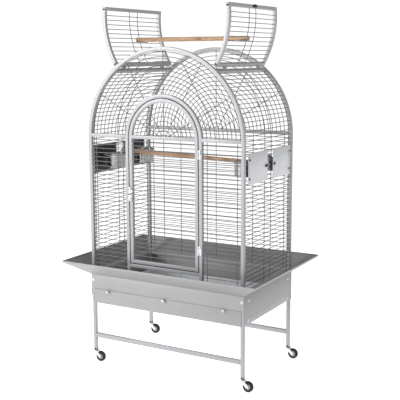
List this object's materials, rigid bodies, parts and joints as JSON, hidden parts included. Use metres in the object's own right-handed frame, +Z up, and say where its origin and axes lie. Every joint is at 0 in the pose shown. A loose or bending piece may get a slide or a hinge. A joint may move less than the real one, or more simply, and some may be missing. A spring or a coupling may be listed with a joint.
{
  "type": "parrot cage on stand",
  "caption": "Dome-top wire parrot cage on a wheeled stand, with an arched front door, opening roof flaps, swing-out feeder cups, seed guards and a slide-out drawer.",
  "frame": {"origin": "on the floor, under the middle of the cage", "axes": "+Z up, front with the door towards -Y, +X to the right seen from the front"},
  "size_m": [1.244, 0.864, 2.0654],
  "materials": {
    "powder_coat": "satin silver-grey powder coat",
    "wire_coat": "satin silver-grey powder coat on wire",
    "sheet_coat": "satin warm grey powder coat on sheet steel",
    "perch_wood": "sanded natural hardwood",
    "chrome": "polished chrome plate",
    "stainless": "bright drawn stainless steel",
    "black_plastic": "black moulded plastic",
    "wheel_rubber": "black moulded tread"
  },
  "bodies": {
    "cage": {"leg_front_left": "powder_coat", "leg_rear_left": "powder_coat", "side_rail_left": "powder_coat", "leg_front_right": "powder_coat", "leg_rear_right": "powder_coat", "side_rail_right": "powder_coat", "lower_rail_front": "powder_coat", "lower_rail_rear": "powder_coat", "seed_guard_front": "sheet_coat", "skirt_front": "sheet_coat", "seed_guard_rear": "sheet_coat", "skirt_rear": "sheet_coat", "seed_guard_left": "sheet_coat", "skirt_left": "sheet_coat", "seed_guard_right": "sheet_coat", "skirt_right": "sheet_coat", "rear_frame": "powder_coat", "front_frame": "powder_coat", "front_wires_left": "wire_coat", "front_wires_right": "wire_coat", "front_fan_wires": "wire_coat", "rear_wires": "wire_coat", "rear_fan_wires": "wire_coat", "side_panel_left": "powder_coat", "side_panel_right": "powder_coat", "vault_side_left": "powder_coat", "vault_side_right": "powder_coat", "door_hinge_upper": "chrome", "door_hinge_lower": "chrome", "inner_perch": "perch_wood"},
    "drawer": {"drawer_tray": "sheet_coat", "drawer_front": "sheet_coat", "drawer_knob_left": "chrome", "drawer_knob_middle": "chrome", "drawer_knob_right": "chrome"},
    "grate": {"floor_grate": "wire_coat"},
    "door": {"door_frame": "powder_coat", "door_wires": "wire_coat", "door_fan_wires": "wire_coat"},
    "latch": {"door_latch": "chrome"},
    "roof_flap_left": {"roof_flap_left": "powder_coat"},
    "roof_flap_right": {"roof_flap_right": "powder_coat", "roof_catch": "black_plastic"},
    "top_perch": {"top_perch": "perch_wood"},
    "feeder_front_left": {"feeder_door_front_left": "powder_coat", "feeder_cup_front_left": "stainless"},
    "caster_front_left": {"caster_fork_front_left": "chrome"},
    "wheel_front_left": {"caster_wheel_front_left": "wheel_rubber"},
    "feeder_rear_left": {"feeder_door_rear_left": "powder_coat", "feeder_cup_rear_left": "stainless"},
    "caster_rear_left": {"caster_fork_rear_left": "chrome"},
    "wheel_rear_left": {"caster_wheel_rear_left": "wheel_rubber"},
    "feeder_front_right": {"feeder_door_front_right": "powder_coat", "feeder_cup_front_right": "stainless"},
    "caster_front_right": {"caster_fork_front_right": "chrome"},
    "wheel_front_right": {"caster_wheel_front_right": "wheel_rubber"},
    "feeder_rear_right": {"feeder_door_rear_right": "powder_coat", "feeder_cup_rear_right": "stainless"},
    "caster_rear_right": {"caster_fork_rear_right": "chrome"},
    "wheel_rear_right": {"caster_wheel_rear_right": "wheel_rubber"}
  },
  "joints": [
    {"name": "drawer_slide", "type": "slide", "parent": "cage", "child": "drawer", "axis": [0, -1, 0], "range_m": [0, 0.48]},
    {"name": "grate_lift", "type": "slide", "parent": "drawer", "child": "grate", "axis": [0, 0, 1], "range_m": [0, 0.006]},
    {"name": "door_hinge", "type": "hinge", "parent": "cage", "child": "door", "pos_m": [0.2245, -0.315, 1], "axis": [0, 0, 1], "range_deg": [0, 150]},
    {"name": "latch_turn", "type": "hinge", "parent": "door", "child": "latch", "pos_m": [-0.212, -0.32, 1.03], "axis": [0, 1, 0], "range_deg": [0, 90]},
    {"name": "left_flap_hinge", "type": "hinge", "parent": "cage", "child": "roof_flap_left", "pos_m": [-0.32429, 0, 1.73047], "axis": [0, 1, 0], "range_deg": [0, 83]},
    {"name": "right_flap_hinge", "type": "hinge", "parent": "cage", "child": "roof_flap_right", "pos_m": [0.32429, 0, 1.73047], "axis": [0, -1, 0], "range_deg": [0, 83]},
    {"name": "top_perch_lift", "type": "slide", "parent": "cage", "child": "top_perch", "axis": [0, 0, 1], "range_m": [0, 2.2]},
    {"name": "feeder_front_left_hinge", "type": "hinge", "parent": "cage", "child": "feeder_front_left", "pos_m": [-0.5023, -0.271, 1.205], "axis": [0, 0, 1], "range_deg": [0, 100]},
    {"name": "swivel_front_left", "type": "hinge", "parent": "cage", "child": "caster_front_left", "pos_m": [-0.49, -0.3, 0.06], "axis": [0, 0, 1], "continuous": true},
    {"name": "roll_front_left", "type": "hinge", "parent": "caster_front_left", "child": "wheel_front_left", "pos_m": [-0.456, -0.3, 0.03], "axis": [0, 1, 0], "continuous": true},
    {"name": "feeder_rear_left_hinge", "type": "hinge", "parent": "cage", "child": "feeder_rear_left", "pos_m": [-0.5023, 0.271, 1.205], "axis": [0, 0, -1], "range_deg": [0, 100]},
    {"name": "swivel_rear_left", "type": "hinge", "parent": "cage", "child": "caster_rear_left", "pos_m": [-0.49, 0.3, 0.06], "axis": [0, 0, 1], "continuous": true},
    {"name": "roll_rear_left", "type": "hinge", "parent": "caster_rear_left", "child": "wheel_rear_left", "pos_m": [-0.456, 0.3, 0.03], "axis": [0, 1, 0], "continuous": true},
    {"name": "feeder_front_right_hinge", "type": "hinge", "parent": "cage", "child": "feeder_front_right", "pos_m": [0.5023, -0.271, 1.205], "axis": [0, 0, -1], "range_deg": [0, 100]},
    {"name": "swivel_front_right", "type": "hinge", "parent": "cage", "child": "caster_front_right", "pos_m": [0.49, -0.3, 0.06], "axis": [0, 0, 1], "continuous": true},
    {"name": "roll_front_right", "type": "hinge", "parent": "caster_front_right", "child": "wheel_front_right", "pos_m": [0.524, -0.3, 0.03], "axis": [0, 1, 0], "continuous": true},
    {"name": "feeder_rear_right_hinge", "type": "hinge", "parent": "cage", "child": "feeder_rear_right", "pos_m": [0.5023, 0.271, 1.205], "axis": [0, 0, 1], "range_deg": [0, 100]},
    {"name": "swivel_rear_right", "type": "hinge", "parent": "cage", "child": "caster_rear_right", "pos_m": [0.49, 0.3, 0.06], "axis": [0, 0, 1], "continuous": true},
    {"name": "roll_rear_right", "type": "hinge", "parent": "caster_rear_right", "child": "wheel_rear_right", "pos_m": [0.524, 0.3, 0.03], "axis": [0, 1, 0], "continuous": true}
  ],
  "couplings": [
    {"joint": "right_flap_hinge", "follows": "left_flap_hinge", "ratio": 1},
    {"joint": "top_perch_lift", "follows": "left_flap_hinge", "m_per_rad": 1.5}
  ]
}
